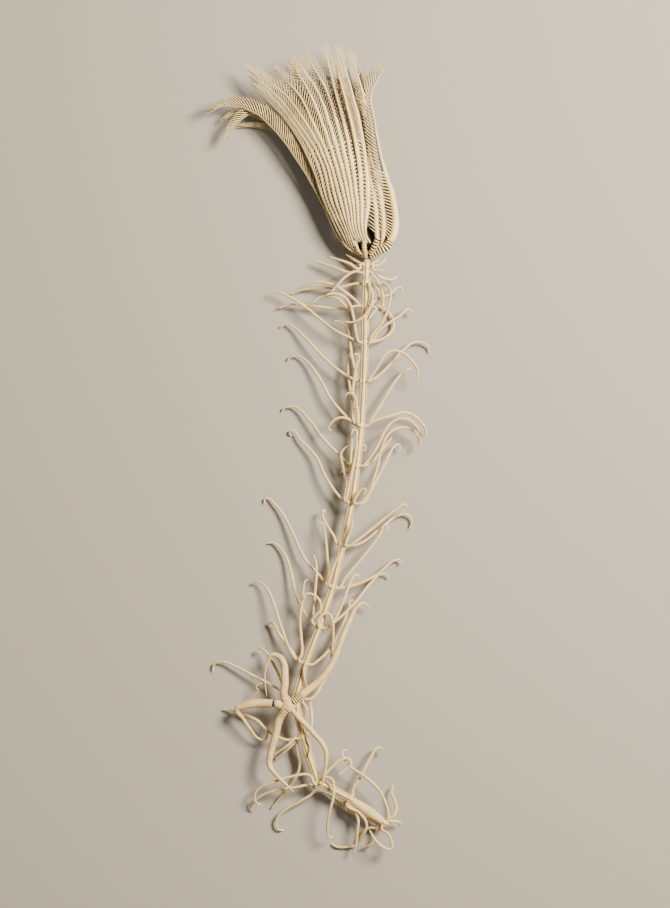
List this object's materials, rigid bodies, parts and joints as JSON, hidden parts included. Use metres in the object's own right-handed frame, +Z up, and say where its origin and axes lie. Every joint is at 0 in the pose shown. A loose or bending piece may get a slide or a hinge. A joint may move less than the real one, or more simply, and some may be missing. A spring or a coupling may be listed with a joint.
{
  "type": "stalked sea lily skeleton",
  "caption": "Dried stalked crinoid lying on its side: feathery crown, slender jointed stem with whorls of hooked cirri, and a brittle star gripping its lower end.",
  "frame": {"origin": "centre of the bounding box's base, on the surface that the specimen lies on", "axes": "+Y along the stem towards the tips of the crown, +X to the right seen from above, +Z up from the surface"},
  "size_m": [0.1784, 0.6459, 0.0342],
  "materials": {
    "ivory_calcite": "matt, with brown joints between the ossicles",
    "arm_calcite": "matt, with fine pinnules",
    "brittle_star": "matt, closely ringed"
  },
  "bodies": {
    "root": {"whorl_01": "ivory_calcite", "whorl_02": "ivory_calcite", "whorl_03": "ivory_calcite", "whorl_04": "ivory_calcite", "whorl_05": "ivory_calcite", "whorl_06": "ivory_calcite", "whorl_07": "ivory_calcite", "whorl_08": "ivory_calcite", "whorl_09": "ivory_calcite", "whorl_10": "ivory_calcite", "whorl_11": "ivory_calcite", "whorl_12": "ivory_calcite", "whorl_13": "ivory_calcite", "whorl_14": "ivory_calcite", "whorl_15": "ivory_calcite", "whorl_16": "ivory_calcite", "whorl_17": "ivory_calcite", "whorl_18": "ivory_calcite", "stem_03": "ivory_calcite", "stem_04": "ivory_calcite", "stem_05": "ivory_calcite", "stem_06": "ivory_calcite", "stem_07": "ivory_calcite", "stem_08": "ivory_calcite", "stem_09": "ivory_calcite", "stem_10": "ivory_calcite", "stem_11": "ivory_calcite", "stem_12": "ivory_calcite", "stem_13": "ivory_calcite", "stem_14": "ivory_calcite", "stem_15": "ivory_calcite", "stem_16": "ivory_calcite", "stem_17": "ivory_calcite", "calyx": "ivory_calcite", "arm_01": "arm_calcite", "arm_02": "arm_calcite", "arm_03": "arm_calcite", "arm_04": "arm_calcite", "arm_05": "arm_calcite", "arm_06": "arm_calcite", "arm_07": "arm_calcite", "arm_08": "arm_calcite", "arm_09": "arm_calcite", "arm_10": "arm_calcite", "arm_11": "arm_calcite", "arm_12": "arm_calcite", "arm_13": "arm_calcite", "arm_14": "arm_calcite", "arm_15": "arm_calcite", "arm_16": "arm_calcite", "arm_17": "arm_calcite", "arm_18": "arm_calcite", "arm_19": "arm_calcite", "arm_20": "arm_calcite", "brittle_star_disc": "brittle_star", "brittle_star_arm_1": "brittle_star", "brittle_star_arm_2": "brittle_star", "brittle_star_arm_3": "brittle_star", "brittle_star_arm_4": "brittle_star", "brittle_star_arm_5": "brittle_star"}
  },
  "joints": []
}
